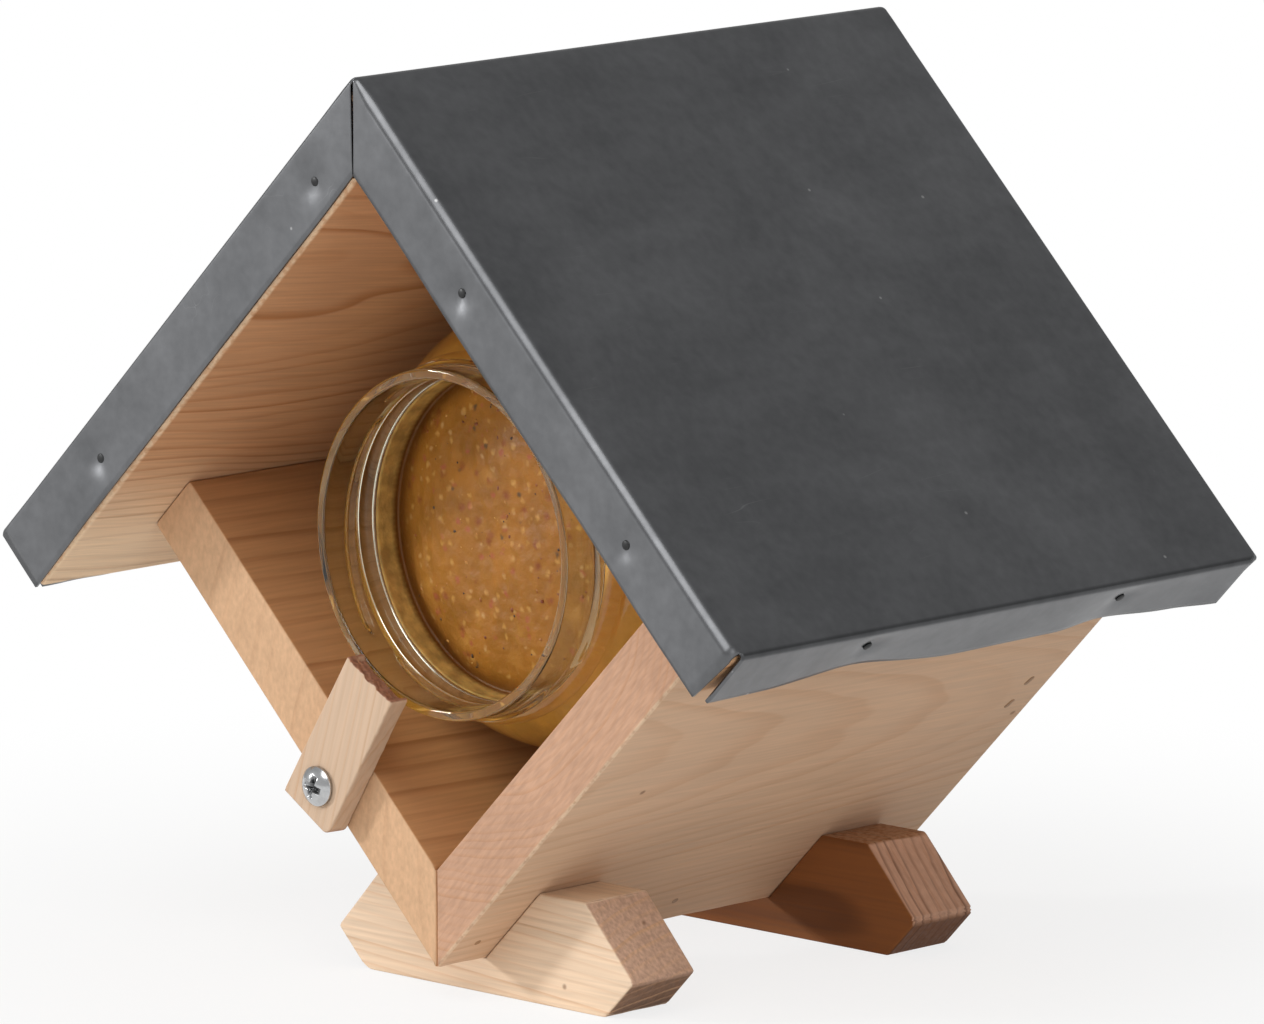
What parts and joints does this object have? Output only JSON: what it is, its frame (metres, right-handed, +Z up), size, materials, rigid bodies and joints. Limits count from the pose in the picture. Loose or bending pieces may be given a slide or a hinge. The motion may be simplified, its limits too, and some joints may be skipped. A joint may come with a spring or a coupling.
{
  "type": "peanut butter bird feeder",
  "caption": "Wooden bird feeder: a square house on its corner between feet, with a folded metal gable roof, a jar of peanut butter lying in the trough and a turn button that keeps it in.",
  "frame": {"origin": "on the ground, under the middle of the roof", "axes": "+X to the right seen from the front, +Y to the back, +Z up"},
  "size_m": [0.217, 0.1616, 0.1991],
  "materials": {
    "side_wood": "planed, unfinished",
    "roof_wood": "planed, unfinished",
    "foot_wood": "sawn, unfinished",
    "button_wood": "sawn, unfinished",
    "roof_sheet": "weathered grey sheet metal",
    "screw_steel": "bright plated",
    "nail_steel": "plain steel",
    "jar_glass": "clear glass",
    "peanut_butter": "oily paste with crushed nuts and seeds"
  },
  "bodies": {
    "house": {"left_side_board": "side_wood", "right_side_board": "side_wood", "left_roof_board": "roof_wood", "right_roof_board": "roof_wood", "back_panel": "side_wood", "roof_sheet": "roof_sheet", "front_foot": "foot_wood", "rear_foot": "foot_wood", "turn_button_screw": "screw_steel", "front_flange_nails": "nail_steel", "rear_flange_nails": "nail_steel", "eave_nails": "nail_steel", "keel_brads": "nail_steel", "ridge_brads": "nail_steel", "roof_board_brads": "nail_steel", "back_panel_brads": "nail_steel", "front_foot_brads": "nail_steel", "rear_foot_brads": "nail_steel"},
    "turn_button": {"turn_button": "button_wood"},
    "jar": {"glass_jar": "jar_glass", "peanut_butter": "peanut_butter"}
  },
  "joints": [
    {"name": "button_turn", "type": "hinge", "parent": "house", "child": "turn_button", "pos_m": [-0.0297, -0.0573, 0.04342], "axis": [0, 1, 0], "continuous": true},
    {"name": "jar_slide", "type": "slide", "parent": "house", "child": "jar", "axis": [0, -1, 0], "range_m": [-0.0017, 0.0017]}
  ]
}
